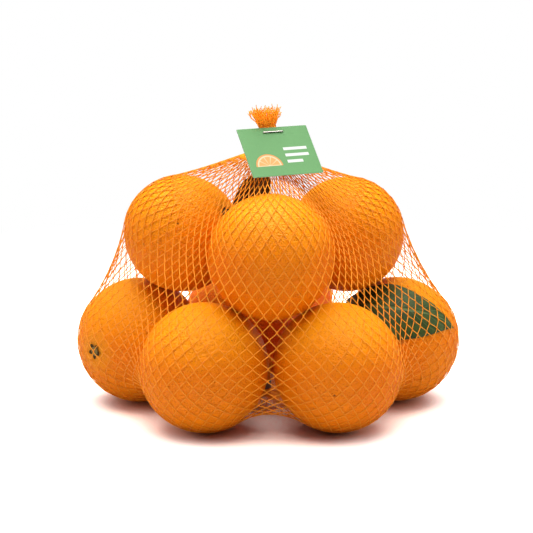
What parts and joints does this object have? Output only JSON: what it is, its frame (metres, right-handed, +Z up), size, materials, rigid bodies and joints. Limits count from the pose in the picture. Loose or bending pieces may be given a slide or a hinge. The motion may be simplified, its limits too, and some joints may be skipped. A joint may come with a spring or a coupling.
{
  "type": "mesh produce bag",
  "caption": "Knotless orange net bag filled with oranges, standing on its base, its gathered neck closed by a stapled green card tag.",
  "frame": {"origin": "on the floor, under the middle of the bag's width and depth", "axes": "+Z up, -Y towards the viewer of the front, +X to the right; the bag stands on its underside at Z = 0"},
  "size_m": [0.2388, 0.2584, 0.1885],
  "materials": {
    "peel": "waxy fruit peel with fine pores",
    "stem_button": "dry green-brown stem end",
    "leaf": "satin leaf",
    "netting": "extruded polyethylene strands, slightly glossy",
    "card": "matt printed card",
    "bright_steel": "bright drawn wire",
    "clip_metal": "crimped band"
  },
  "bodies": {
    "net": {"orange_front_left": "peel", "orange_front_right": "peel", "orange_side_left": "peel", "orange_side_right": "peel", "orange_middle": "peel", "orange_back": "peel", "orange_top_front": "peel", "orange_top_left": "peel", "orange_top_right": "peel", "button_front_left": "stem_button", "button_front_right": "stem_button", "button_side_left": "stem_button", "button_side_right": "stem_button", "button_middle": "stem_button", "button_back": "stem_button", "button_top_front": "stem_button", "button_top_left": "stem_button", "button_top_right": "stem_button", "leaf_right": "leaf", "leaf_top": "leaf", "net_body": "netting", "net_bottom_bunch": "netting", "bottom_clip": "clip_metal"},
    "collar": {"net_collar": "netting"},
    "neck": {"net_neck": "netting", "tag_strip": "card", "staple": "bright_steel"},
    "tag": {"tag_flap": "card"}
  },
  "joints": [
    {"name": "neck_sway", "type": "hinge", "parent": "net", "child": "collar", "pos_m": [-0.00153, -0.04894, 0.15411], "axis": [0, 1, 0], "range_deg": [-20, 12]},
    {"name": "neck_nod", "type": "hinge", "parent": "collar", "child": "neck", "pos_m": [-0.00153, -0.04894, 0.15411], "axis": [-1, 0, 0], "range_deg": [0, 35]},
    {"name": "tag_lift", "type": "hinge", "parent": "neck", "child": "tag", "pos_m": [0.00339, -0.05474, 0.17053], "axis": [-0.9107, -0.4131, 0], "range_deg": [0, 80]}
  ]
}
